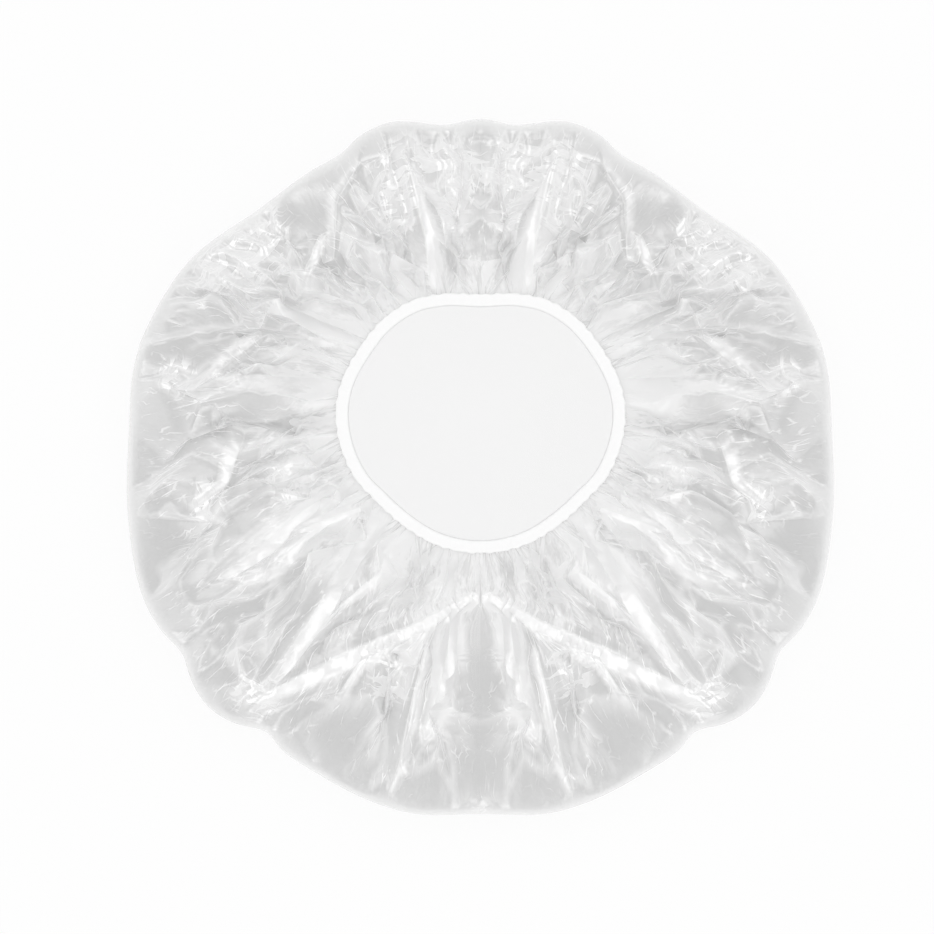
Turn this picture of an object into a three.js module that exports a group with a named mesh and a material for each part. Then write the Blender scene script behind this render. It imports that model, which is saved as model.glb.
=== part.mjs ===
// Shower cap, relaxed, lying on its crown with the opening up.
// A disc of clear film turns over at an outer fold and is gathered into a white hem round the opening.
// Millimetres. +Z is up, out of the opening. +Y is the side that the opening lies nearer to.
import * as THREE from "three";
import { ParametricGeometry } from "three/addons/geometries/ParametricGeometry.js";

// Film
const FOLD_RADIUS = 150; // mean radius of the outer fold, the outline seen from above
const FOLD_DEPTH = 11; // level distance from the flat of the crown to the outer fold
const FOLD_HEIGHT = 9; // height of the outer fold above the flat of the crown
const RIM_RISE = 4.5; // height that the film climbs close above the outer fold, before it lies back
const RIM_REACH = 3; // level distance in which it has climbed most of that
const FILM_WALL = 0.6; // closed wall that stands for film about 0.03 thick
const SKIRT_RISE = 4; // swell of the skirt between the outer fold and the hem
const BILLOW = 0.6; // extra height of a lobe for each millimetre that it stands out
const GATHER_COUNT = 32; // main gathers round the hem
const GATHER_DEPTH = 2.8; // height of a ridge above the skirt, and depth of a valley under it
const FILM_LEAD = 1.5; // flat stretch of film outside the binding, before the gathers start
// The deepest gathers of the +X side, which the -X side mirrors: degrees from +X, and height over the others.
const MAIN_FOLDS = [
  [79, 2.2],
  [45, 1],
  [11, 1.2],
  [-22, 1.4],
  [-45, 2],
  [-79, 2.6],
];

// Hem
const HEM_HEIGHT = 40; // middle of the hem above the flat of the crown
const HEM_SHIFT = 18; // middle of the opening from the middle of the cap, towards +Y
const OPENING_RADIUS = 52.5; // mean radius of the clear opening with the elastic relaxed
const BINDING_WALL = 0.4; // one layer of the binding strip
const FILM_GRIP = 1.4; // film edge that lies between the two layers of the binding
const ELASTIC_WIDTH = 2.6;
const ELASTIC_THICKNESS = 0.5;
const ELASTIC_LAP = 10; // length over which the ends of the elastic lie on each other
const CLEARANCE = 0.3; // between pieces that lie against each other

// Lobes and notches of a closed line: degrees from +X, millimetres out from its mean radius.
// They run down the +X side from +Y to -Y, and the -X side mirrors them.
const OUTLINE_LOBES = [
  [90, -2],
  [84, -4],
  [76, 1.4],
  [66, -4.6],
  [54, -5.5],
  [42, -2],
  [30, 3],
  [18, 4.2],
  [5, -0.4],
  [-8, 2],
  [-21, 4.3],
  [-32, -2.4],
  [-41, 4.8],
  [-52, -5.2],
  [-62, -1.6],
  [-78, 0.8],
  [-90, -2],
];
const OPENING_LOBES = [
  [90, -2.9],
  [71, 0.1],
  [62, 1.8],
  [48, 2.7],
  [32, 2.7],
  [16, 3.7],
  [4, 3.5],
  [-11, 1.8],
  [-24, -0.2],
  [-36, -2.9],
  [-52, -3.9],
  [-68, -3.5],
  [-90, -3.3],
];

// How finely the closed lines are stepped
const FILM_STEPS = 2 * GATHER_COUNT;
const HEM_STEPS = 96;
const NOSE_STEPS = 6;

// The hem in section, as distances out from the edge of the clear opening.
// The binding is a strip folded to a C: a round nose towards the opening and two layers outwards.
const SLOT = Math.max(2 * ELASTIC_THICKNESS, FILM_WALL) + 2 * CLEARANCE;
const NOSE_RADIUS = SLOT / 2 + BINDING_WALL;
const ELASTIC_START = NOSE_RADIUS;
const FILM_EDGE = ELASTIC_START + ELASTIC_WIDTH + CLEARANCE;
const BINDING_WIDTH = FILM_EDGE + FILM_GRIP;

// Degrees from +X of an angle, or of its mirror image when it points to the -X side.
function sideDegrees(angle) {
  return THREE.MathUtils.radToDeg(Math.atan2(Math.sin(angle), Math.abs(Math.cos(angle))));
}

// Offset of a lobed line at an angle, as a smooth curve through its lobes.
function lobeAt(lobes, angle) {
  const degrees = sideDegrees(angle);
  const last = lobes.length - 1;
  let i = 0;
  while (i < last - 1 && degrees < lobes[i + 1][0]) i++;
  const slope = (k) => {
    if (k === 0 || k === last) return 0;
    return (lobes[k + 1][1] - lobes[k - 1][1]) / (lobes[k + 1][0] - lobes[k - 1][0]);
  };
  const span = lobes[i + 1][0] - lobes[i][0];
  const t = (degrees - lobes[i][0]) / span;
  const rest = 1 - t;
  const start = lobes[i][1] * (1 + 2 * t) * rest * rest + slope(i) * span * t * rest * rest;
  const end = lobes[i + 1][1] * (3 - 2 * t) * t * t - slope(i + 1) * span * t * t * rest;
  return start + end;
}

const direction = (angle) => new THREE.Vector2(Math.cos(angle), Math.sin(angle));

function openingRadius(angle) {
  return OPENING_RADIUS + lobeAt(OPENING_LOBES, angle);
}

// Rows of the film's outer face, from the middle of the crown to the edge inside the hem.
// Each row gives how far a gather stands out there, as a share of its depth.
const CROWN_ROWS = [
  { turn: 0, gather: 0 },
  { turn: 45, gather: 0.05 },
  { turn: 90, gather: 0.1 },
];
const SKIRT_ROWS = [
  { along: 0.05, gather: 0.3 },
  { along: 0.2, gather: 0.7 },
  { along: 0.45, gather: 1 },
  { along: 0.78, gather: 0.9 },
];

// One column of the film: its rows as level distance from the hem's film edge, height and gather.
function filmColumn(angle) {
  const lobe = lobeAt(OUTLINE_LOBES, angle);
  const fold = direction(angle).multiplyScalar(FOLD_RADIUS + lobe);
  const edge = direction(angle).multiplyScalar(openingRadius(angle) + FILM_EDGE);
  edge.y += HEM_SHIFT;
  const out = fold.clone().sub(edge);
  const reach = out.length();
  out.normalize();
  const hemTop = HEM_HEIGHT + FILM_WALL / 2;
  const rows = [];
  for (const { turn, gather } of CROWN_ROWS) {
    const a = THREE.MathUtils.degToRad(turn);
    const level = reach - FOLD_DEPTH * (1 - Math.sin(a));
    rows.push({ level, height: FOLD_HEIGHT * (1 - Math.cos(a)), gather });
  }
  const mouth = FILM_GRIP + FILM_LEAD;
  for (const { along, gather } of SKIRT_ROWS) {
    const inside = (reach - mouth) * along;
    const rim = RIM_RISE * (1 - Math.exp(-inside / RIM_REACH));
    const climb = (hemTop - FOLD_HEIGHT - RIM_RISE) * along;
    const swell = (SKIRT_RISE + BILLOW * lobe) * Math.sin(Math.PI * along);
    rows.push({ level: reach - inside, height: FOLD_HEIGHT + rim + climb + swell, gather });
  }
  rows.push({ level: mouth, height: hemTop, gather: 0 });
  rows.push({ level: 0, height: hemTop, gather: 0 });
  return { edge, out, rows };
}

// How far a gather stands out at column c: a ridge where c is even, and a valley into the cap where it is odd.
function gatherDepth(c) {
  if (c % 2 === 1) return -GATHER_DEPTH;
  const degrees = sideDegrees((2 * Math.PI * c) / FILM_STEPS);
  const pitch = 360 / GATHER_COUNT;
  const main = MAIN_FOLDS.find(([place]) => Math.abs(place - degrees) < pitch / 2);
  return GATHER_DEPTH + (main ? main[1] : 0);
}

// The way into the cap, square to the film, at row i of a column.
function inward(rows, i) {
  if (i >= rows.length - 2) return new THREE.Vector2(0, -1);
  if (i === 0) return new THREE.Vector2(0, 1);
  const level = rows[i + 1].level - rows[i - 1].level;
  const height = rows[i + 1].height - rows[i - 1].height;
  return new THREE.Vector2(-height, level).normalize();
}

// The film as one closed wall: out over its outer face to the hem, and back over its inner face.
function filmGeometry() {
  const columns = [];
  for (let c = 0; c < FILM_STEPS; c++) {
    columns.push(filmColumn((2 * Math.PI * c) / FILM_STEPS));
  }
  const rowCount = columns[0].rows.length;
  const stacks = 2 * rowCount + 1;
  return new ParametricGeometry(
    (u, v, target) => {
      const c = Math.round(u * FILM_STEPS) % FILM_STEPS;
      const k = Math.round(v * stacks);
      const inner = k > rowCount;
      const i = (inner ? stacks - k : k) - 1;
      if (i < 0) return target.set(0, 0, inner ? FILM_WALL : 0);
      const { edge, out, rows } = columns[c];
      const into = inward(rows, i);
      const shift = (inner ? FILM_WALL : 0) - gatherDepth(c) * rows[i].gather;
      const level = rows[i].level + shift * into.x;
      const height = rows[i].height + shift * into.y;
      return target.set(edge.x + out.x * level, edge.y + out.y * level, height);
    },
    FILM_STEPS,
    stacks,
  );
}

// A closed loop that follows the opening. section(angle) lists its corners, anticlockwise,
// as distance out from the edge of the opening and height from the middle of the hem.
function hemLoop(section) {
  const corners = section(0).length;
  return new ParametricGeometry(
    (u, v, target) => {
      const angle = 2 * Math.PI * u;
      const [out, height] = section(angle)[Math.round(v * corners) % corners];
      const radius = openingRadius(angle) + out;
      return target.set(radius * Math.cos(angle), radius * Math.sin(angle), height);
    },
    HEM_STEPS,
    corners,
  );
}

function bindingSection() {
  const half = SLOT / 2;
  const nose = (radius, from, to, steps) => {
    const arc = [];
    for (let n = 0; n <= steps; n++) {
      const a = THREE.MathUtils.degToRad(from + ((to - from) * n) / steps);
      arc.push([NOSE_RADIUS + radius * Math.cos(a), radius * Math.sin(a)]);
    }
    return arc;
  };
  return [
    [BINDING_WIDTH, -NOSE_RADIUS],
    [BINDING_WIDTH, -half],
    ...nose(half, 270, 90, NOSE_STEPS - 2),
    [BINDING_WIDTH, half],
    [BINDING_WIDTH, NOSE_RADIUS],
    ...nose(NOSE_RADIUS, 90, 270, NOSE_STEPS),
  ];
}

// The elastic is flat, and twice as thick where its welded ends lie on each other, on the -Y side.
function elasticSection(angle) {
  const lapEnd = ELASTIC_LAP / 2 / openingRadius(-Math.PI / 2);
  const lapped = -Math.sin(angle) > Math.cos(lapEnd);
  const half = lapped ? ELASTIC_THICKNESS : ELASTIC_THICKNESS / 2;
  const end = ELASTIC_START + ELASTIC_WIDTH;
  return [
    [ELASTIC_START, -half],
    [end, -half],
    [end, half],
    [ELASTIC_START, half],
  ];
}

function piece(name, geometry, color, roughness, opacity = 1) {
  const material = new THREE.MeshStandardMaterial({ color, roughness, metalness: 0 });
  material.opacity = opacity;
  material.transparent = opacity < 1;
  const mesh = new THREE.Mesh(geometry, material);
  mesh.name = name;
  return mesh;
}

const film = piece("cap_film", filmGeometry(), 0xdfe3e5, 0.15, 0.4);

const hem = new THREE.Group();
hem.name = "hem";
hem.position.set(0, HEM_SHIFT, HEM_HEIGHT);
hem.add(piece("edge_binding", hemLoop(bindingSection), 0xfafaf8, 0.6));
hem.add(piece("elastic_band", hemLoop(elasticSection), 0xefece4, 0.8));

const cap = new THREE.Group();
cap.name = "shower_cap";
cap.add(film, hem);

// The middle of the outline, seen from above, is the origin.
const outline = new THREE.Box3().setFromObject(film).getCenter(new THREE.Vector3());
cap.children.forEach((child) => {
  child.position.x -= outline.x;
  child.position.y -= outline.y;
});

export default cap;
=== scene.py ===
import math

import bpy
import numpy as np
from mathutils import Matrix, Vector
from mathutils.geometry import delaunay_2d_cdt
from bpy.props import FloatProperty, FloatVectorProperty, IntProperty, PointerProperty


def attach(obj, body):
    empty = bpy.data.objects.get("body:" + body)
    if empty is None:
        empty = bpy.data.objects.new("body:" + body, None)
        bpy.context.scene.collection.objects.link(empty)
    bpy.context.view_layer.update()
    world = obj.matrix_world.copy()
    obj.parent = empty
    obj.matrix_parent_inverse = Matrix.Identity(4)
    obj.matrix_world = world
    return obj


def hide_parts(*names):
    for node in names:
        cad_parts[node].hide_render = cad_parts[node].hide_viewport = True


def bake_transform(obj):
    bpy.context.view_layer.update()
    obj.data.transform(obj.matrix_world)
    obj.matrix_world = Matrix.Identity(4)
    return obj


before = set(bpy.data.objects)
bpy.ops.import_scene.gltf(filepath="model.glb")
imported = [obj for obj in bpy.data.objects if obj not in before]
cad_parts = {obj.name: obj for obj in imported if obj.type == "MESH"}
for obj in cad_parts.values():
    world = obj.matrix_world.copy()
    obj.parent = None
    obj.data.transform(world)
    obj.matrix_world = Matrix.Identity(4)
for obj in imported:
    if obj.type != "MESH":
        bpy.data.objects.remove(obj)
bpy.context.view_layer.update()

bl_info = {
    "name": "Shower Cap",
    "version": (1, 0, 0),
    "blender": (4, 5, 0),
    "location": "3D View > Sidebar > Shower Cap",
    "description": "Clear film shower cap with a gathered skirt, a white bound hem and a studio stage",
    "category": "Add Mesh",
}

MM = 0.001
ON_SEAM = 1e-6  # a point nearer than this to the middle plane lies on it
SEAM_GAP = 0.0003  # how far the other points keep from the middle plane
TABLE_GAP = 0.0002  # how far the film keeps above the table
WELD = 0.0017  # width of the film's edge that is welded into the binding
BINDING_GAP = 0.0004  # how far loose film keeps from the binding
BINDING_WALL = 0.0004  # one layer of the binding strip

# Lobes and notches: degrees from +X, millimetres out from the mean radius, down the +X side
OUTLINE_LOBES = [
    (90, -1.3), (84, -3.2), (76, 2), (70, 0.6), (66, -3.7), (60, -4.4), (54, -5.2), (48, -4.6), (42, -1.3),
    (36, 2.1), (30, 3.5), (18, 4.4), (5, 0.8), (-8, 2), (-21, 4.6), (-27, 3.4), (-32, 0.2), (-36, 3.4),
    (-41, 5.2), (-46, 2.2), (-51, -4.6), (-55, -2.2), (-62, -1.5), (-78, 1), (-90, -1.8),
]
OPENING_LOBES = [
    (90, -2.9), (71, 0.1), (62, 1.8), (48, 2.7), (32, 2.7), (16, 3.7), (4, 3.5),
    (-11, 1.8), (-24, -0.2), (-36, -2.9), (-52, -3.9), (-68, -3.5), (-90, -3.3),
]

# Main folds on the +X side: strength of the painted highlight on the doubled film, height of the crest and width of
# its lit face in millimetres (to the left of the way it runs when positive), and the points that the crest follows
MAIN_FOLDS = [
    (1.6, 1.5, -3.5, [(1.5, -52.5), (5, -53.5), (10, -57.5)]),
    (1, 2.5, -5, [(11, -57), (27, -66), (51, -76), (76, -88), (93, -96)]),
    (1, 2.5, -5, [(12, -60), (14, -78), (18, -95), (23, -110)]),
    (0.5, 1.5, -2.5, [(24, -78), (29, -99), (34, -124), (39, -138)]),
    (0.5, 2.5, -7, [(47, -23), (59, -43), (72, -64), (85, -83), (94, -94)]),
    (0.9, 2, -2.8, [(51, -17), (68, -23), (79, -27)]),
    (0.6, 2, -4, [(74, -29), (89, -43), (100, -46)]),
    (0.5, 2, -6.5, [(57, -7), (76, -19), (93, -33), (110, -45)]),
    (0.9, 2, 3, [(102, 7), (107, -8), (121, -18)]),
    (0.6, 1.5, -2.2, [(34, -74), (51, -82), (60, -96)]),
    (1, 2.5, 3.5, [(21, 76), (23, 96), (27, 113), (30, 126)]),
    (0.4, 1.5, 2.5, [(51, 129), (61, 113), (62, 88)]),
    (0.8, 1.5, -2.5, [(68, 98), (74, 83)]),
    (0.6, 1.5, 2.5, [(62, 51), (77, 51)]),
    (0.5, 1.5, 3.5, [(93, 54), (104, 46), (113, 38)]),
    (0.4, 1.5, 2.5, [(81, 30), (99, 32), (119, 27)]),
    (0.3, 1, 2, [(102, 59), (123, 56), (145, 51)]),
    (0.7, 1.5, -2, [(42, -44), (58, -57)]),
    (0.3, 1, 1.5, [(108, -24), (129, -22), (145, -21)]),
]

# Painted highlight bands on the +X side, where the film lies double without a ridge of its own, written like the main
# folds
HIGHLIGHT_BANDS = [
    (0.9, 0, -9, [(14, -57), (17, -66), (20.5, -83), (23, -100), (26, -112)]),
    (0.4, 0, -11, [(57, -9), (76, -21), (93, -35), (104, -43)]),
]

# Middles and radii, in millimetres, of the places on the +X side where the film is crumpled small, and of those
# where it lies in large flat faces
CRUMPLED_SPOTS = [
    (11, 126, 12), (30, 124, 14), (13, 106, 8), (38, 108, 10), (96, 96, 15), (111, 84, 9), (96, -97, 9), (81, -5, 8),
    (116, -14, 8), (38, -90, 9), (128, 39, 7), (0, -145, 3),
]
CALM_SPOTS = [
    (135, -33, 12), (81, -51, 10), (59, -116, 16), (19, -133, 14), (72, 107, 10),
    (118, 54, 12), (93, 24, 11), (0, -127, 12), *((0, y, 6.5) for y in range(-115, -60, 5)),
]

# Rings of points beside the outer fold: metres past it, along the film
FOLD_RINGS = (-0.018, -0.012, -0.007, -0.003, 0.001, 0.005)

# The ring of lamps: degrees from +X of each, and the rise, distance and size that all have
LAMP_PLACES = (90, 48, 132, 15, 165, -42, 222, -77, 257)
LAMP_RISE = math.radians(38)
LAMP_DISTANCE = 1.3
LAMP_SIZE = (0.2, 0.8)


# Settings

class FilmSettings(bpy.types.PropertyGroup):
    fold_radius: FloatProperty(
        name="Fold Radius", description="Mean radius of the outer fold", default=0.150, unit="LENGTH")
    fold_depth: FloatProperty(
        name="Fold Depth", description="Level distance from the flat of the crown to the outer fold",
        default=0.011, unit="LENGTH")
    fold_height: FloatProperty(
        name="Fold Height", description="Height of the outer fold above the table", default=0.009, unit="LENGTH")
    skirt_rise: FloatProperty(
        name="Skirt Rise", description="Swell of the skirt between fold and hem", default=0.004, unit="LENGTH")
    billow: FloatProperty(
        name="Billow", description="Extra height of a lobe for each millimetre that it stands out", default=0.6)
    disc_radius: FloatProperty(
        name="Disc Radius", description="Radius of the film disc before it was gathered",
        default=0.257, unit="LENGTH")
    slack: FloatProperty(
        name="Slack", description="Spare film along the skirt, which crumples it", default=0.02, min=0.0)
    seed: IntProperty(name="Seed", description="Which crumples the film takes", default=2)
    facet: FloatProperty(
        name="Facet", description="Usual distance between the corners of the crumpled film",
        default=0.0040, unit="LENGTH")
    crumple_reach: FloatProperty(
        name="Crumple Reach", description="How far the crumples run from the outer fold under the crown",
        default=0.03, unit="LENGTH")
    turns: IntProperty(name="Turns", description="How long the film is let settle", default=600)
    clear: FloatVectorProperty(
        name="Clear", description="Tint of light that passes one layer of film",
        default=(0.952, 0.952, 0.952), subtype="COLOR", min=0.0, max=1.0)
    haze: FloatVectorProperty(
        name="Haze", description="Colour of the light that a smooth layer scatters back",
        default=(0.39, 0.39, 0.39), subtype="COLOR", min=0.0, max=1.0)
    # Top of the film's colour ramp: the white of its painted highlights, and the colour that milky film lets through
    milk_and_highlight_white: FloatVectorProperty(
        name="Crease White", description="Colour of the film where it is sharply creased",
        default=(0.97, 0.97, 0.97), subtype="COLOR", min=0.0, max=1.0)


class HemSettings(bpy.types.PropertyGroup):
    height: FloatProperty(
        name="Height", description="Middle of the hem above the table", default=0.040, unit="LENGTH")
    shift: FloatProperty(
        name="Shift", description="Middle of the opening from the middle of the cap, towards +Y",
        default=0.018, unit="LENGTH")
    opening_radius: FloatProperty(
        name="Opening Radius", description="Mean radius of the clear opening", default=0.0521, unit="LENGTH")
    binding_width: FloatProperty(
        name="Binding Width", description="Width of the folded binding", default=0.0055, unit="LENGTH")
    binding_height: FloatProperty(
        name="Binding Height", description="Height of the folded binding", default=0.0024, unit="LENGTH")
    film_edge: FloatProperty(
        name="Film Edge", description="Where the film ends, out from the clear opening",
        default=0.0041, unit="LENGTH")
    pucker: FloatProperty(
        name="Pucker", description="How far the gathers push the outer edge of the binding in and out",
        default=0.0003, unit="LENGTH")
    # Painted shade where the binding turns under at its inner edge, partly a thinner, greyer lip
    lip: FloatVectorProperty(
        name="Lip", description="Colour of the binding where it turns over the edge", default=(0.80, 0.80, 0.80),
        subtype="COLOR", min=0.0, max=1.0)
    white: FloatVectorProperty(
        name="White", description="Colour of the binding", default=(0.965, 0.965, 0.965),
        subtype="COLOR", min=0.0, max=1.0)


class StageSettings(bpy.types.PropertyGroup):
    camera_height: FloatProperty(
        name="Camera Height", description="Camera above the table", default=3.2, unit="LENGTH")
    frame_width: FloatProperty(
        name="Frame Width", description="Width of the picture at the skirt", default=0.3957, unit="LENGTH")
    lamp_power: FloatProperty(
        name="Lamp Power", description="Power of each lamp of the ring", default=0.9, unit="POWER")
    sky: FloatProperty(name="Sky", description="Strength of the even light from all round", default=1.04)


# Shader expressions

class Value:
    """One output socket. Sums, differences and products of values add Math nodes."""

    def __init__(self, sheet, socket):
        self.sheet = sheet
        self.socket = socket

    def math(self, operation, *others):
        return self.sheet.node("ShaderNodeMath", {"operation": operation}, *([self] + list(others)))

    def __add__(self, other):
        return self.math("ADD", other)

    def __mul__(self, other):
        return self.math("MULTIPLY", other)

    def __sub__(self, other):
        return self.math("SUBTRACT", other)

    def __rsub__(self, other):
        return self.sheet.node("ShaderNodeMath", {"operation": "SUBTRACT"}, other, self)

    __radd__ = __add__
    __rmul__ = __mul__

    def clamp(self, low=0.0, high=1.0):
        return self.math("MAXIMUM", low).math("MINIMUM", high)


class Sheet:
    """A material's node tree, filled by calls."""

    def __init__(self, name):
        self.material = bpy.data.materials.new(name)
        self.material.use_nodes = True
        self.tree = self.material.node_tree
        self.tree.nodes.clear()

    def node(self, kind, settings=None, *values, out=0, **named):
        made = self.tree.nodes.new(kind)
        for key, value in (settings or {}).items():
            if key == "stops":
                ramp = made.color_ramp.elements
                while len(ramp) < len(value):
                    ramp.new(0.5)
                for stop, (place, colour) in zip(ramp, value):
                    stop.position = place
                    stop.color = colour
            else:
                setattr(made, key, value)
        for key, value in list(enumerate(values)) + list(named.items()):
            socket = made.inputs[key if isinstance(key, int) else key.replace("_", " ")]
            if isinstance(value, Value):
                self.tree.links.new(value.socket, socket)
            elif value is not None:
                socket.default_value = value
        return Value(self, made.outputs[out]) if made.outputs else made

    def finish(self, surface):
        self.node("ShaderNodeOutputMaterial", None, surface)
        return self.material


def rgba(colour):
    return (*colour, 1.0)


# Shape of the cap

def ease(t):
    """A smooth step from 0 to 1."""
    t = np.clip(t, 0.0, 1.0)
    return t * t * (3 - 2 * t)


def lobe_at(lobes, degrees):
    """Offset in metres of a lobed line at angles of the +X side, as a smooth curve through its lobes."""
    table = np.array(lobes[::-1], float)
    angle, offset = table[:, 0], table[:, 1] * MM
    slope = np.zeros(len(angle))
    slope[1:-1] = (offset[2:] - offset[:-2]) / (angle[2:] - angle[:-2])
    i = np.clip(np.searchsorted(angle, degrees) - 1, 0, len(angle) - 2)
    span = angle[i + 1] - angle[i]
    t = (degrees - angle[i]) / span
    rest = 1 - t
    start = offset[i] * (1 + 2 * t) * rest ** 2 + slope[i] * span * t * rest ** 2
    end = offset[i + 1] * (3 - 2 * t) * t ** 2 - slope[i + 1] * span * t ** 2 * rest
    return start + end


def turned_at(points):
    """Angles of points of the +X side, in degrees from +X."""
    return np.degrees(np.arctan2(points[:, 1], np.maximum(points[:, 0], 1e-9)))


def distance_along(line):
    """How far each point of a line is from its start, along the line."""
    return np.r_[0.0, np.cumsum(np.linalg.norm(np.diff(line, axis=0), axis=1))]


def along_line(line, count):
    """Even steps along a line that is given in millimetres: how far along each is, and where it is."""
    line = np.array(line, float) * MM
    run = distance_along(line)
    places = np.linspace(0, run[-1], count)
    return places, np.stack([np.interp(places, run, line[:, k]) for k in (0, 1)], -1)


def left_of(line):
    """Unit steps to the left of the way that a line runs."""
    side = np.gradient(line, axis=0)[:, ::-1] * [-1, 1]
    return side / np.linalg.norm(side, axis=1, keepdims=True)


def film_rows(count, disc_radius):
    """Distances from the middle of the flat disc at which the film has points, close together on the skirt."""
    few = count // 8
    crown_end, fold_end = 0.110, 0.145
    crown = np.linspace(0.0, crown_end, few, endpoint=False)
    turn = np.linspace(crown_end, fold_end, few, endpoint=False)
    skirt = np.linspace(fold_end, disc_radius, count - 2 * few)
    return np.r_[crown, turn, skirt]


def smooth_film(columns, rows, film, hem):
    """The film without gathers, as rows by columns by 3, on the +X side from +Y round to -Y.
    With it, the distance from the middle of the flat disc to the outer fold in each column."""
    degrees = np.linspace(90, -90, columns + 1)
    turn = np.radians(degrees)
    outward = np.stack([np.cos(turn), np.sin(turn)], 1)
    lobe = lobe_at(OUTLINE_LOBES, degrees)
    fold = outward * (film.fold_radius + lobe)[:, None]
    edge = outward * (hem.opening_radius + lobe_at(OPENING_LOBES, degrees) + hem.film_edge)[:, None]
    edge[:, 1] += hem.shift
    middle = np.array([0.0, -hem.shift])
    points = np.zeros((len(rows), columns + 1, 3))
    turned = np.zeros(columns + 1)
    arc = np.radians(np.linspace(0, 90, 12))
    along = np.linspace(0, 1, 40)[1:]
    climb = 0.14 * (1 - np.exp(-along / 0.03)) + 0.86 * along
    for j in range(columns + 1):
        reach = np.hypot(*(fold[j] - middle))
        way = (fold[j] - middle) / reach
        level = np.r_[0.0, reach - film.fold_depth * (1 - np.sin(arc))]
        crown = np.c_[middle + way * level[:, None], np.r_[0.0, film.fold_height * (1 - np.cos(arc))]]
        swell = (film.skirt_rise + film.billow * lobe[j]) * np.sin(np.pi * along)
        skirt = np.c_[
            fold[j] + (edge[j] - fold[j]) * along[:, None],
            film.fold_height + (hem.height - film.fold_height) * climb + swell,
        ]
        line = np.r_[crown, skirt]
        run = distance_along(line)
        place = rows / rows[-1] * run[-1]
        turned[j] = run[len(crown) - 1] / run[-1] * rows[-1]
        for k in range(3):
            points[:, j, k] = np.interp(place, run, line[:, k])
    return points, turned


def soft_noise(shape, cells, chance):
    """A smooth random field with about one hill in each cell."""
    hills = chance.standard_normal((cells[0] + 1, cells[1] + 1))
    y = np.linspace(0, cells[0], shape[0])
    x = np.linspace(0, cells[1], shape[1])
    row = np.minimum(y.astype(int), cells[0] - 1)
    col = np.minimum(x.astype(int), cells[1] - 1)
    up, across = ease(y - row)[:, None], ease(x - col)
    near = hills[row][:, col] * (1 - across) + hills[row][:, col + 1] * across
    far = hills[row + 1][:, col] * (1 - across) + hills[row + 1][:, col + 1] * across
    return near * (1 - up) + far * up


def fold_room(share):
    """How high the folds may stand at a share of the way from the outer fold to the hem."""
    return np.interp(
        share, [-0.3, 0.0, 0.15, 0.4, 0.7, 0.88, 0.965, 1.0],
        [0.0006, 0.0008, 0.0018, 0.0036, 0.0048, 0.0035, 0.002, 0.0008])


def bilinear(grid, row, column):
    """Values of a grid at fractional rows and columns."""
    i = np.clip(row.astype(int), 0, grid.shape[0] - 2)
    j = np.clip(column.astype(int), 0, grid.shape[1] - 2)
    y, x = (row - i)[:, None], (column - j)[:, None]
    low = grid[i, j] * (1 - x) + grid[i, j + 1] * x
    high = grid[i + 1, j] * (1 - x) + grid[i + 1, j + 1] * x
    return low * (1 - y) + high * y


def scatter(kept, spacing, edge, chance, tries=60000):
    """Random points of the flat half disc, apart by the spacing there, besides the points already kept.
    Along the radius they stand further apart, by the stretch there."""
    count = len(kept)
    points = np.zeros((count + tries, 2))
    points[:count] = kept
    rho = edge * np.sqrt(chance.random(tries))
    turn = chance.uniform(-math.pi / 2, math.pi / 2, tries)
    darts = np.stack([rho * np.cos(turn), rho * np.sin(turn)], -1)
    apart, stretch = spacing(darts)
    for k in np.flatnonzero(darts[:, 0] > 0.6 * apart):
        x, y = (points[:count] - darts[k]).T
        outward = (x * darts[k, 0] + y * darts[k, 1]) / rho[k]
        if (x * x + y * y - outward ** 2 * (1 - 1 / stretch[k] ** 2)).min() > apart[k] ** 2:
            points[count] = darts[k]
            count += 1
    return points[:count]


def keep_apart(points, gap):
    """Which points to keep, so that none is nearer than the gap to one before it."""
    kept = np.ones(len(points), bool)
    for k in range(1, len(points)):
        kept[k] = np.linalg.norm(points[:k][kept[:k]] - points[k], axis=1).min() > gap
    return kept


def fold_points(cap, flat, skirt):
    """Points along the crest and both feet of each main fold: flat places, where they belong on the cap, and how
    firmly they keep to it."""
    spots, targets, firm = [], [], []
    step, drop, crest_grip, foot_grip = 0.006, 0.42, 0.5, 0.4
    for _, height, width, line in MAIN_FOLDS:
        places, top = along_line(line, 40)
        near = np.linalg.norm(cap[skirt][:, None, :2] - top, axis=-1).argmin(0)
        crest = flat[skirt][near]
        level = cap[skirt][near, 2]
        apart = distance_along(crest)
        even = np.interp(np.linspace(0, apart[-1], max(2, int(apart[-1] / step)) + 1), apart, places)
        top, crest = (np.stack([np.interp(even, places, a[:, k]) for k in (0, 1)], -1) for a in (top, crest))
        fade = np.sin(np.pi * (0.12 + 0.76 * even / places[-1])) ** 0.5
        level = np.interp(even, places, level) + height * MM * fade
        wide = abs(width) * MM * fade[:, None]
        side = left_of(top) * np.sign(width)
        away = left_of(crest) * -np.sign(width)
        for way in (0.0, 1.0, -1.0):
            spots += [*(crest + away * wide * way)]
            targets += [*np.c_[top + side * wide * way, level - drop * wide[:, 0] * abs(way)]]
            firm += [foot_grip if way else crest_grip] * len(top)
    return np.array(spots), np.array(targets), np.array(firm)


def fold_shine(points):
    """How much painted highlight the doubled film of the main folds and bands gives each point, fading at their sides
    and ends.
    """
    shine = np.zeros(len(points))
    for pale, _, width, line in MAIN_FOLDS + HIGHLIGHT_BANDS:
        places, top = along_line(line, 60)
        fade = np.sin(np.pi * (0.04 + 0.92 * places / places[-1])) ** 0.25
        half = 0.6 * abs(width) * MM * fade + 0.0004
        top = top + left_of(top) * (np.sign(width) * half)[:, None]
        gap = np.linalg.norm(points[:, None, :2] - top, axis=-1)
        near = gap.argmin(1)
        far = gap[np.arange(len(points)), near] / half[near]
        shine = np.maximum(shine, pale * np.exp(-far ** 4) * fade[near])
    return shine


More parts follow.
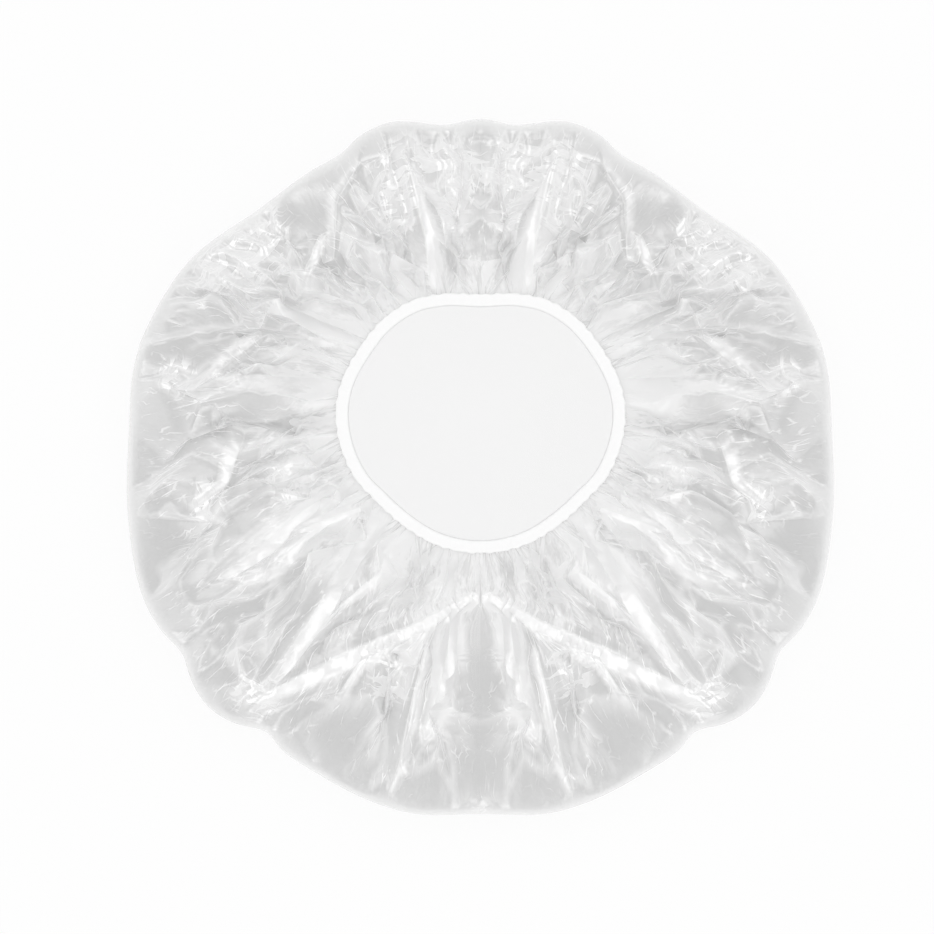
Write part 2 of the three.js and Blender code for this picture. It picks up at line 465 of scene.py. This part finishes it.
def spot_reach(group, points):
    """Distance of points from the nearest of a group of spots, in radii of that spot."""
    x, y, radius = np.array(group, float).T * MM
    return (np.hypot(points[:, :1] - x, points[:, 1:2] - y) / radius).min(1)


def spot_share(group, points, past):
    """How well each point of the skirt is inside one of a group of spots, from 0 to 1."""
    return np.exp(-spot_reach(group, points) ** 4) * ease(past / 0.004 + 0.5)


def rim_gap(points, film):
    """Level distance of points from the outline of the cap."""
    return film.fold_radius + lobe_at(OUTLINE_LOBES, turned_at(points)) - np.linalg.norm(points[:, :2], axis=1)


def keep_between(points, free, film, hem):
    """Keep free points outside the binding and inside the outline of the cap."""
    for middle, radius, lobes, sign in (
            (hem.shift, hem.opening_radius + hem.binding_width + BINDING_GAP, OPENING_LOBES, 1),
            (0.0, film.fold_radius, OUTLINE_LOBES, -1)):
        out = points[:, :2] - [0, middle]
        distance = np.linalg.norm(out, axis=1) + 1e-9
        limit = radius + lobe_at(lobes, turned_at(out))
        past = (free > 0) & (sign * (limit - distance) > 0)
        points[:, :2] = out * np.where(past, limit / distance, 1.0)[:, None] + [0, middle]


class FilmMesh:
    """The film on the +X side as triangles, each point with its place on the flat disc and on the smooth cap."""

    def __init__(self, flat, base, hold, past, share, faces):
        self.flat = flat
        self.base = base
        self.hold = hold
        self.past = past
        self.share = share
        self.faces = faces
        self.points = base.copy()

    def pairs(self):
        """The sides of the triangles, and the two points that face each other across each inner side."""
        faces = self.faces
        pairs = np.sort(np.concatenate([faces[:, [0, 1]], faces[:, [1, 2]], faces[:, [2, 0]]]), axis=1)
        opposite = np.concatenate([faces[:, 2], faces[:, 0], faces[:, 1]])
        order = np.lexsort((pairs[:, 1], pairs[:, 0]))
        pairs, opposite = pairs[order], opposite[order]
        twin = np.flatnonzero((pairs[1:] == pairs[:-1]).all(1))
        return np.unique(pairs, axis=0), np.stack([opposite[twin], opposite[twin + 1]], 1)

    def divide(self):
        """Cut each triangle into four."""
        faces = self.faces
        sides = np.sort(np.stack([faces[:, [0, 1]], faces[:, [1, 2]], faces[:, [2, 0]]], 1), axis=2)
        pairs, place = np.unique(sides.reshape(-1, 2), axis=0, return_inverse=True)
        x, y, z = (place.reshape(-1, 3) + len(self.points)).T
        a, b, c = faces.T
        self.faces = np.concatenate([
            np.stack([a, x, z], 1), np.stack([x, b, y], 1), np.stack([z, y, c], 1), np.stack([x, y, z], 1)])
        for key in ("flat", "base", "hold", "past", "share", "points"):
            values = getattr(self, key)
            setattr(self, key, np.concatenate([values, values[pairs].mean(1)]))

    def settle(self, turns, film, hem, stiff):
        """Let the film spread to its own lengths, so that what is too long for the hem buckles into folds."""
        points, base, edge = self.points, self.base, film.disc_radius
        rho = np.linalg.norm(self.flat, axis=1)
        room = fold_room(self.share)
        free = ((self.past > -film.crumple_reach) & (rho < edge - 0.002)).astype(float)
        hold = (self.hold * free)[:, None]
        seam = np.abs(self.flat[:, 0]) < ON_SEAM
        haste = 2.2
        pairs, hinges = self.pairs()
        ends = np.concatenate([pairs, hinges])
        a, b = ends.T
        hinge = np.arange(len(ends)) >= len(pairs)
        rest = np.linalg.norm(self.flat[a] - self.flat[b], axis=1) * np.where(hinge, stiff, 1 + film.slack)
        rest = np.where(free[a] + free[b] == 0, np.linalg.norm(base[a] - base[b], axis=1), rest)
        share = np.maximum(free[a] + free[b], 1e-9)
        number = np.bincount(a, minlength=len(points)) + np.bincount(b, minlength=len(points))
        for _ in range(turns):
            gap = points[b] - points[a]
            far = np.linalg.norm(gap, axis=1) + 1e-9
            stretch = (far - rest) / far / share
            stretch[hinge & (far > rest)] = 0.0
            move = stretch[:, None] * gap
            for k in range(3):
                shove = np.bincount(a, move[:, k] * free[a], len(points))
                shove -= np.bincount(b, move[:, k] * free[b], len(points))
                points[:, k] += haste * shove / number
            points += hold * (base - points)
            height = np.clip(points[:, 2] - base[:, 2], -0.8 * room, room)
            points[:, 2] = np.maximum(base[:, 2] + height, TABLE_GAP)
            points[:, 0] = np.where(seam, 0.0, np.maximum(points[:, 0], SEAM_GAP))
            keep_between(points, free, film, hem)

    def sharpness(self):
        """How sharply the film bends at each point, from 0 to 1."""
        corner, corners, count = self.points[self.faces], self.faces.ravel(), len(self.points)
        normal = np.cross(corner[:, 1] - corner[:, 0], corner[:, 2] - corner[:, 0])
        normal /= np.linalg.norm(normal, axis=1, keepdims=True) + 1e-15
        number = np.maximum(np.bincount(corners, minlength=count), 1)
        total = np.stack([np.bincount(corners, np.repeat(normal[:, k], 3), count) for k in range(3)], -1)
        return ease((1 - np.linalg.norm(total / number[:, None], axis=1)) / 0.12)

    def soften(self, turns, amount, edge):
        """Round the creases a little, and leave the film as it is past the edge."""
        pairs, _ = self.pairs()
        a, b = pairs.T
        number = np.bincount(a, minlength=len(self.points)) + np.bincount(b, minlength=len(self.points))
        seam = np.abs(self.flat[:, 0]) < ON_SEAM
        part = amount * (np.linalg.norm(self.flat, axis=1) < edge) / number
        for _ in range(turns):
            for k in range(3):
                gap = self.points[b, k] - self.points[a, k]
                pull = np.bincount(a, gap, len(self.points)) - np.bincount(b, gap, len(self.points))
                self.points[:, k] += part * pull
            self.points[seam, 0] = 0.0


class SmoothCap:
    """The +X side of the cap without gathers, on rows of the flat disc and columns from +Y round to -Y."""

    columns = 360

    def __init__(self, film, hem):
        self.edge = film.disc_radius
        self.rows = film_rows(112, self.edge)
        self.points, self.turned = smooth_film(self.columns, self.rows, film, hem)

    def column(self, spots):
        return (90 - np.degrees(np.arctan2(spots[:, 1], spots[:, 0]))) / 180 * self.columns

    def place(self, spots):
        """Where places on the flat disc come to lie."""
        row = np.interp(np.linalg.norm(spots, axis=1), self.rows, np.arange(len(self.rows)))
        return bilinear(self.points, row, self.column(spots))

    def past_fold(self, spots):
        """How far flat places are past the outer fold, in metres and as a share of the way to the hem."""
        fold = np.interp(self.column(spots), np.arange(self.columns + 1), self.turned)
        past = np.linalg.norm(spots, axis=1) - fold
        return past, past / (self.edge - fold)


def given_points(cap, step, grip):
    """Flat places that the film always has: along its border, and in rings beside the outer fold."""
    edge = cap.edge
    border = [(0.0, y) for y in np.linspace(-edge, edge, int(2 * edge / step) + 1)]
    for rho in (grip, edge):
        turn = np.linspace(-math.pi / 2, math.pi / 2, int(math.pi * rho / step) + 1)
        border += [(rho * math.cos(a), rho * math.sin(a)) for a in turn]
    rings = []
    turn = np.linspace(-90, 90, 131)[1:-1]
    fold = np.interp(90 - turn, np.linspace(0, 180, cap.columns + 1), cap.turned)
    for past in FOLD_RINGS:
        rho = fold + past
        rings += [*np.stack([rho * np.cos(np.radians(turn)), rho * np.sin(np.radians(turn))], -1)]
    return border, rings


def crumpled_film(film, hem):
    """The gathered film on the +X side: flat facets between creases, as thin film crumples."""
    chance = np.random.default_rng(film.seed)
    cap = SmoothCap(film, hem)
    edge, grip = cap.edge, cap.edge - WELD
    polar = np.radians(np.linspace(90, -90, cap.columns + 1))
    flat = cap.rows[:, None, None] * np.stack([np.cos(polar), np.sin(polar)], -1)
    skirt = (cap.rows[:, None] > cap.turned + 0.001) & (cap.rows < grip - 0.004)[:, None]
    spots, targets, firm = fold_points(cap.points, flat, skirt)
    border, rings = given_points(cap, film.facet, grip)
    given = np.concatenate([border, spots, rings])
    good = keep_apart(given, 0.0012)
    given_fold = np.r_[np.full(len(border), -1), np.arange(len(spots)), np.full(len(rings), -1)][good]
    hills = soft_noise((200, 200), (9, 9), chance)

    def inside(place, past, group):
        return (spot_reach(group, place) < 1) & (past > 0)

    def spacing(darts):
        hill = hills[(darts[:, 1] / edge * 99 + 100).astype(int), (darts[:, 0] / edge * 199).astype(int)]
        place, (past, share) = cap.place(darts), cap.past_fold(darts)
        apart = film.facet * (1 + 0.5 * np.clip(hill, -0.8, 1.5)) * np.interp(share, [0.0, 0.5, 1.0], [1.3, 1.0, 0.8])
        apart = np.where(inside(place, past, CRUMPLED_SPOTS), 0.8 * film.facet, apart)
        apart = np.where(inside(place, past, CALM_SPOTS), 2.5 * film.facet, apart)
        apart = np.interp(past, [-film.crumple_reach - 0.02, -film.crumple_reach], [5.0, 1.5]) * apart
        return apart, np.interp(share, [0.0, 0.3, 1.0], [1.0, 1.5, 2.5])

    # Facets of the flat disc
    kept = scatter(given[good], spacing, grip - 0.004, chance)
    found = delaunay_2d_cdt([Vector(spot) for spot in kept], [], [], 0, 1e-6)
    place = np.array([tuple(spot) for spot in found[0]])
    faces = np.array(found[2])
    faces = faces[(place[faces, 0] > ON_SEAM).any(1)]

    # Where each corner starts, and how firmly it is held there
    rho = np.linalg.norm(place, axis=1)
    base, (past, share) = cap.place(place), cap.past_fold(place)
    hold = 0.004 + 0.5 * np.exp(-(((past + 0.001) / 0.006) ** 2))
    hold = np.where(inside(base, past, CALM_SPOTS), 0.4, hold)
    loose = (past > -film.crumple_reach) & (rho < grip - 0.001)
    pleats = soft_noise((60, 1441), (12, 180), chance)[:, :, None]
    column = (90 - np.degrees(np.arctan2(place[:, 1], place[:, 0]))) * 8
    started = 0.5 * chance.standard_normal(len(place)) + bilinear(pleats, rho / edge * 59, column)[:, 0]
    started *= 0.5 * fold_room(share) * loose
    for k, origin in enumerate(found[3]):
        fold = given_fold[origin[0]] if origin and origin[0] < len(given_fold) else -1
        if fold >= 0:
            base[k] = targets[fold]
            hold[k] = firm[fold]
            started[k] = 0.0

    # The film settles, and its creases are rounded: all of them a little, and more of them in the crumpled places,
    # at the outer fold, in the calm places and under the crown
    mesh = FilmMesh(place, base, hold, past, share, faces)
    mesh.points[:, 2] += started
    mesh.settle(film.turns, film, hem, 0.4)
    mesh.divide()
    mesh.divide()
    mesh.crease = mesh.sharpness()
    soft_edge = grip - 0.001
    mesh.soften(1, 0.5, soft_edge)
    mesh.soften(4, 0.5 * spot_share(CRUMPLED_SPOTS, mesh.points, mesh.past), soft_edge)
    mesh.soften(8, 0.5 * ease(1.2 - np.abs(mesh.past) / 0.01), soft_edge)
    mesh.soften(30, 0.5 * spot_share(CALM_SPOTS, mesh.points, mesh.past), soft_edge)
    mesh.soften(20, 0.5 * ease(-mesh.past / 0.006), soft_edge)
    return mesh


def mirrored(half):
    """Both sides of a line of columns whose first and last lie on the middle plane."""
    return np.concatenate([half, (half[:, ::-1] * [-1, 1, 1])[:, 1:-1]], 1)


def tube(name, points):
    """A mesh on rows and columns of points that both close on themselves."""
    here = np.arange(points.shape[0] * points.shape[1]).reshape(points.shape[:2])
    below, after = np.roll(here, -1, axis=0), np.roll(here, -1, axis=1)
    faces = np.stack([here, below, np.roll(below, -1, axis=1), after], -1).reshape(-1, 4)
    mesh = bpy.data.meshes.new(name)
    mesh.from_pydata(points.reshape(-1, 3).tolist(), [], faces.tolist())
    mesh.shade_smooth()
    piece = bpy.data.objects.new(name, mesh)
    bpy.context.collection.objects.link(piece)
    return piece


def set_mark(mesh, name, values):
    """Keep one number for each point of a mesh, for its material."""
    mesh.attributes.new(name, "FLOAT", "POINT").data.foreach_set("value", values.astype(np.float32))


def film_marks(half, film):
    """What the film's material needs to know at each point of the +X side."""
    points, past, share = half.points, half.past, half.share
    return {
        "skirt": ease((past + 0.013) / 0.012),
        "inner": ease((past - 0.004) / 0.014),
        "gather": ease((share - 0.5) / 0.45),
        "near": ease((share - 0.1) / 0.6),
        "crease": half.crease * ease((past + 0.02) / 0.02),
        "pale": fold_shine(points) * ease(past / 0.006),
        "crumple": spot_share(CRUMPLED_SPOTS, points, past),
        "calm": spot_share(CALM_SPOTS, points, past),
        "rim": np.exp(-np.maximum(rim_gap(points, film), 0.0) / 0.005),
    }


def binding_section(hem):
    """The folded binding's outline, as steps out from the clear opening and heights from the hem's middle."""
    half, width, step, bevel = hem.binding_height / 2, hem.binding_width, 0.0005, 0.0001
    arc = np.radians(np.linspace(90, 270, 13))
    bore = half - BINDING_WALL
    nose = [(half + half * math.cos(a), half * math.sin(a)) for a in arc]
    inner = [(half + bore * math.cos(a), bore * math.sin(a)) for a in arc[::-1]]
    top = [(width - step * k, half) for k in range(1, 8)]
    under = [(width - step * k, -half) for k in range(7, 0, -1)]
    return [
        (width, half - bevel), *top, *nose, *under, (width, -half + bevel), (width, -half + BINDING_WALL),
        *inner, (width, half - BINDING_WALL),
    ]


# Materials

def film_material(film):
    sheet = Sheet("clear_film")
    skirt, inner, sharp, gather, near, pale, crumple, calm, rim = (
        sheet.node("ShaderNodeAttribute", {"attribute_name": name}, out=2)
        for name in ("skirt", "inner", "crease", "gather", "near", "pale", "crumple", "calm", "rim"))
    busy = 1.0 - 0.75 * calm
    around = sheet.node("ShaderNodeAttribute", {"attribute_name": "around"}, out=1)

    def stretched(turn, out):
        return sheet.node("ShaderNodeVectorMath", {"operation": "MULTIPLY"}, around, (turn, out, 0.0))

    def noise(place, **settings):
        return sheet.node("ShaderNodeTexNoise", {"noise_dimensions": "2D"}, place, Scale=1.0, **settings)

    # Small marks of the film: streaks, and painted highlights in hairlines, in strokes across the crumpled places and
    # in rays from the hem
    along = stretched(40.0, 70.0)
    streak = noise(along, Detail=3.0, Roughness=0.6)
    comb = ((streak - 0.5) * 3.5 + 0.5).clamp()
    across = sheet.node(
        "ShaderNodeTexVoronoi", {"voronoi_dimensions": "2D", "feature": "DISTANCE_TO_EDGE"}, along, Scale=1.2)
    # Hairlines: a painted highlight along a network of crease lines
    line = (1.0 - across * 9.0).clamp() * ((streak - 0.5) * 6.0).clamp() * inner * busy
    # Strokes: painted glints across the crumpled places
    dash = noise(stretched(12.0, 260.0), Detail=2.0, Distortion=0.8)
    painted_glint_stroke = ((dash - 0.51) * 13.0).clamp() * crumple
    # Rays: painted pale highlight streaks running out from the hem
    beam = noise(stretched(12.0, 6.0), Detail=2.0)
    painted_ray = ((beam - 0.48) * 6.0).clamp() * near * busy

    # What changes with the way the film is seen, with a painted sheen along the outline and on faces seen at a slant
    bump = sheet.node("ShaderNodeBump", None, Strength=0.3, Distance=0.0005, Height=streak * skirt)
    edge = sheet.node("ShaderNodeLayerWeight", None, 0.5, bump, out=0)
    steep = sheet.node("ShaderNodeLayerWeight", None, 0.5, out=1)
    # Painted highlight: a thin white line along the outline, which is also made glossier
    rim = rim * (0.25 + steep * 3.0).clamp()
    # Faces seen at a slant are painted whiter: a painted sheen
    painted_slant_sheen = ((steep - 0.13) * 4.5).clamp() * inner * busy

    # The milky part of the film, from haze to white, where the white is painted highlight
    # Painted highlights whiten creases, hairlines, strokes, crumpled spots, the combed gathers at the hem, rays,
    # folds, the outline and slanted faces
    white = sharp * 0.4 + line + painted_glint_stroke * 1.3 + crumple * 0.25 + gather * (0.45 + 0.6 * comb)
    white = (white + painted_ray * 0.6 + pale * 1.2 + rim + painted_slant_sheen * 0.6).clamp()
    stops = [(0, rgba(film.haze)), (1, rgba(film.milk_and_highlight_white))]
    shade = sheet.node("ShaderNodeValToRGB", {"stops": stops}, white)
    haze = sheet.node(
        "ShaderNodeBsdfPrincipled", None, Base_Color=shade, Roughness=0.4, IOR=1.5, Specular_IOR_Level=0.2,
        Normal=bump)
    through = sheet.node("ShaderNodeBsdfTranslucent", None, rgba(film.milk_and_highlight_white))
    milk = sheet.node("ShaderNodeMixShader", None, (0.2 + white * 0.35).clamp(), haze, through)

    # How much of the film is milky and not clear, and how much mirrors; the milk is raised under the painted
    # highlights so that they show
    cloud = 0.02 + skirt * (0.53 + streak * 0.15) + sharp * 0.1 + gather * (0.12 + comb * 0.26) + painted_ray * 0.18
    cloud = (cloud + line * 0.35 + painted_glint_stroke * 0.5 + pale * 0.4 + rim * 0.3 + painted_slant_sheen * 0.18).clamp(0.0, 0.92)
    open_air = sheet.node("ShaderNodeBsdfTransparent", None, rgba(film.clear))
    milky = sheet.node("ShaderNodeMixShader", None, cloud, open_air, milk)
    mirror = (edge * (0.12 + 0.88 * skirt)).clamp(0.0, 0.18) * (1.0 - 0.6 * gather) * busy * (0.35 + 0.65 * inner)
    mirror = mirror + rim * 0.6 + pale * 0.1 + painted_glint_stroke * 0.2
    gloss = sheet.node("ShaderNodeBsdfGlossy", None, rgba((1, 1, 1)), 0.22, Normal=bump)
    return sheet.finish(sheet.node("ShaderNodeMixShader", None, mirror, milky, gloss))


def binding_material(hem):
    sheet = Sheet("white_binding")
    place = sheet.node("ShaderNodeTexCoord", None, out=3)
    fibre = sheet.node("ShaderNodeTexNoise", None, place, Scale=900.0, Detail=4.0, Roughness=0.6)
    bump = sheet.node("ShaderNodeBump", None, Strength=0.3, Distance=0.0002, Height=fibre)
    # Greyer at the inner edge: painted shade where the binding turns under
    lip = sheet.node("ShaderNodeAttribute", {"attribute_name": "lip"}, out=2)
    shade = sheet.node("ShaderNodeValToRGB", {"stops": [(0, rgba(hem.white)), (1, rgba(hem.lip))]}, lip)
    cloth = sheet.node(
        "ShaderNodeBsdfPrincipled", None, Base_Color=shade, Roughness=0.6 + 0.15 * fibre,
        Specular_IOR_Level=0.3, Normal=bump)
    return sheet.finish(cloth)


def floor_material():
    sheet = Sheet("white_table")
    path = sheet.node("ShaderNodeLightPath", None).socket.node.outputs
    camera, glossy, through = (Value(sheet, path[f"Is {kind} Ray"]) for kind in ("Camera", "Glossy", "Transmission"))
    seen = camera + glossy + through
    table = sheet.node("ShaderNodeBsdfDiffuse", None, rgba((0.9, 0.9, 0.9)))
    white = sheet.node("ShaderNodeEmission", None, rgba((1, 1, 1)), 1.0)
    return sheet.finish(sheet.node("ShaderNodeMixShader", None, (seen * 0.9).clamp(), table, white))


# Operators

class MakeFilm(bpy.types.Operator):
    """Gather the film disc into the hem and lay it on its crown"""
    bl_idname = "shower_cap.film"
    bl_label = "Film"

    def execute(self, context):
        film, hem = context.scene.cap_film, context.scene.cap_hem
        half = crumpled_film(film, hem)
        rho = np.linalg.norm(half.flat, axis=1)

        # The film's edge goes up and down inside the binding, point by point
        rim = np.flatnonzero(rho > film.disc_radius - 0.0001)
        rim = rim[np.argsort(half.flat[rim, 1])]
        half.points[rim, 2] += np.where(np.arange(len(rim)) % 2, 0.00045, -0.00045)

        # Both sides, joined at the middle plane
        other = np.flatnonzero(half.flat[:, 0] > ON_SEAM)
        twin = np.arange(len(rho))
        twin[other] = len(rho) + np.arange(len(other))
        points = np.concatenate([half.points, half.points[other] * [-1, 1, 1]])
        faces = np.concatenate([half.faces[:, ::-1], twin[half.faces]])
        mesh = bpy.data.meshes.new("film")
        mesh.from_pydata(points.tolist(), [], faces.tolist())
        mesh.shade_smooth()
        mesh.set_sharp_from_angle(angle=math.radians(24))
        piece = bpy.data.objects.new("film", mesh)
        context.collection.objects.link(piece)
        for name, mark in film_marks(half, film).items():
            set_mark(mesh, name, np.r_[mark, mark[other]])
        turned = np.arctan2(half.flat[:, 1], half.flat[:, 0])
        around = np.stack([np.r_[turned, math.pi - turned[other]], np.r_[rho, rho[other]]], 1).astype(np.float32)
        mesh.attributes.new("around", "FLOAT2", "POINT").data.foreach_set("vector", around.ravel())
        piece.data.materials.append(film_material(film))
        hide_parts("cap_film")
        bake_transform(piece)
        return {"FINISHED"}


class MakeBinding(bpy.types.Operator):
    """Fold the white binding round the film edge"""
    bl_idname = "shower_cap.binding"
    bl_label = "Binding"

    def execute(self, context):
        hem = context.scene.cap_hem
        width, half = hem.binding_width, hem.binding_height / 2
        degrees = np.linspace(90, -90, 361)
        turn = np.radians(degrees)
        radius = hem.opening_radius + lobe_at(OPENING_LOBES, degrees)
        pucker = hem.pucker * (np.sin(58 * turn) + np.sin(83 * turn + 1)) / 2
        section = binding_section(hem)
        line = []
        for out, height in section:
            reach = radius + out + pucker * out / width
            rise = height * (1 + 0.4 * pucker / half)
            line.append(np.stack([reach * np.cos(turn), reach * np.sin(turn) + hem.shift, hem.height + rise], -1))
        line = mirrored(np.array(line))
        piece = tube("binding", line)
        # Painted shade: the binding is greyed where it turns under at the inner edge
        lip = ease((0.0007 - np.array(section)[:, 0]) / 0.0006)
        set_mark(piece.data, "lip", lip.repeat(line.shape[1]))
        bpy.ops.object.select_all(action="DESELECT")
        context.view_layer.objects.active = piece
        piece.select_set(True)
        bpy.ops.object.mode_set(mode="EDIT")
        bpy.ops.mesh.select_all(action="SELECT")
        bpy.ops.mesh.normals_make_consistent(inside=False)
        bpy.ops.object.mode_set(mode="OBJECT")
        piece.data.materials.append(binding_material(hem))
        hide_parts("edge_binding")
        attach(piece, "hem")
        return {"FINISHED"}


class DressElastic(bpy.types.Operator):
    """Give the elastic inside the binding its rubber"""
    bl_idname = "shower_cap.elastic"
    bl_label = "Elastic"

    def execute(self, context):
        sheet = Sheet("elastic")
        place = sheet.node("ShaderNodeTexCoord", None, out=3)
        thread = sheet.node("ShaderNodeTexNoise", None, place, Scale=600.0, Detail=2.0)
        rubber = sheet.node(
            "ShaderNodeBsdfPrincipled", None, Base_Color=rgba((0.85, 0.84, 0.81)), Roughness=0.7 + 0.2 * thread)
        materials = bpy.data.objects["elastic_band"].data.materials
        materials.clear()
        materials.append(sheet.finish(rubber))
        return {"FINISHED"}


def ring_lamp(name, around, power):
    """One upright lamp of the ring, aimed at the cap."""
    lamp = bpy.data.lights.new(name, "AREA")
    lamp.energy = power
    lamp.shape = "RECTANGLE"
    lamp.size, lamp.size_y = LAMP_SIZE
    holder = bpy.data.objects.new(name, lamp)
    turn, level = math.radians(around), LAMP_DISTANCE * math.cos(LAMP_RISE)
    holder.location = (level * math.cos(turn), level * math.sin(turn), LAMP_DISTANCE * math.sin(LAMP_RISE))
    holder.rotation_euler = (math.pi / 2 - LAMP_RISE, 0, turn + math.pi / 2)
    return holder


def studio_world(sky):
    """Even light from all round, a little weaker from above than from the sides."""
    world = bpy.data.worlds.new("studio")
    world.use_nodes = True
    tree = world.node_tree
    way = tree.nodes.new("ShaderNodeTexCoord")
    split = tree.nodes.new("ShaderNodeSeparateXYZ")
    ramp = tree.nodes.new("ShaderNodeValToRGB")
    for stop, (place, grey) in zip(ramp.color_ramp.elements, ((0.0, 1.0), (0.6, 0.66))):
        stop.position = place
        stop.color = (grey, grey, grey, 1)
    background = tree.nodes["Background"]
    tree.links.new(way.outputs["Generated"], split.inputs[0])
    tree.links.new(split.outputs["Z"], ramp.inputs[0])
    tree.links.new(ramp.outputs[0], background.inputs[0])
    background.inputs[1].default_value = sky
    return world


def camera_above(stage):
    """The camera straight above, a little to the side, as the cap lies in the picture."""
    camera = bpy.data.cameras.new("camera")
    skirt_height = 0.018
    camera.sensor_width = 36.0
    camera.lens = camera.sensor_width * (stage.camera_height - skirt_height) / stage.frame_width
    eye = bpy.data.objects.new("camera", camera)
    eye.location = (-0.0057, 0.0, stage.camera_height)
    return eye


class MakeStage(bpy.types.Operator):
    """Set the white table, the ring of lamps and the camera straight above"""
    bl_idname = "shower_cap.stage"
    bl_label = "Stage"

    def execute(self, context):
        stage = context.scene.cap_stage
        bpy.ops.object.select_all(action="DESELECT")
        bpy.ops.mesh.primitive_plane_add(size=8.0, location=(0, 0, -0.0004))
        floor = context.object
        floor.name = "table"
        floor.data.materials.append(floor_material())
        for n, around in enumerate(LAMP_PLACES):
            context.collection.objects.link(ring_lamp(f"lamp_{n}", around, stage.lamp_power))
        context.scene.world = studio_world(stage.sky)
        eye = camera_above(stage)
        context.collection.objects.link(eye)
        context.scene.camera = eye
        context.scene.view_settings.view_transform = "Standard"
        context.scene.cycles.transparent_max_bounces = 48
        context.scene.cycles.diffuse_bounces = 8
        return {"FINISHED"}


class CapPanel(bpy.types.Panel):
    """The cap's pieces and their sizes"""
    bl_idname = "VIEW3D_PT_shower_cap"
    bl_label = "Shower Cap"
    bl_space_type = "VIEW_3D"
    bl_region_type = "UI"
    bl_category = "Shower Cap"

    def draw(self, context):
        for group in (context.scene.cap_film, context.scene.cap_hem, context.scene.cap_stage):
            box = self.layout.box()
            for key in group.__annotations__:
                box.prop(group, key)
        for operator in (MakeFilm, MakeBinding, DressElastic, MakeStage):
            self.layout.operator(operator.bl_idname)


CLASSES = (
    FilmSettings, HemSettings, StageSettings,
    MakeFilm, MakeBinding, DressElastic, MakeStage, CapPanel,
)


def register():
    for made in CLASSES:
        bpy.utils.register_class(made)
    bpy.types.Scene.cap_film = PointerProperty(type=FilmSettings)
    bpy.types.Scene.cap_hem = PointerProperty(type=HemSettings)
    bpy.types.Scene.cap_stage = PointerProperty(type=StageSettings)


def unregister():
    del bpy.types.Scene.cap_film
    del bpy.types.Scene.cap_hem
    del bpy.types.Scene.cap_stage
    for made in reversed(CLASSES):
        bpy.utils.unregister_class(made)


def main():
    register()
    bpy.ops.shower_cap.stage()
    bpy.ops.shower_cap.film()
    bpy.ops.shower_cap.binding()
    bpy.ops.shower_cap.elastic()


if __name__ == "__main__":
    main()
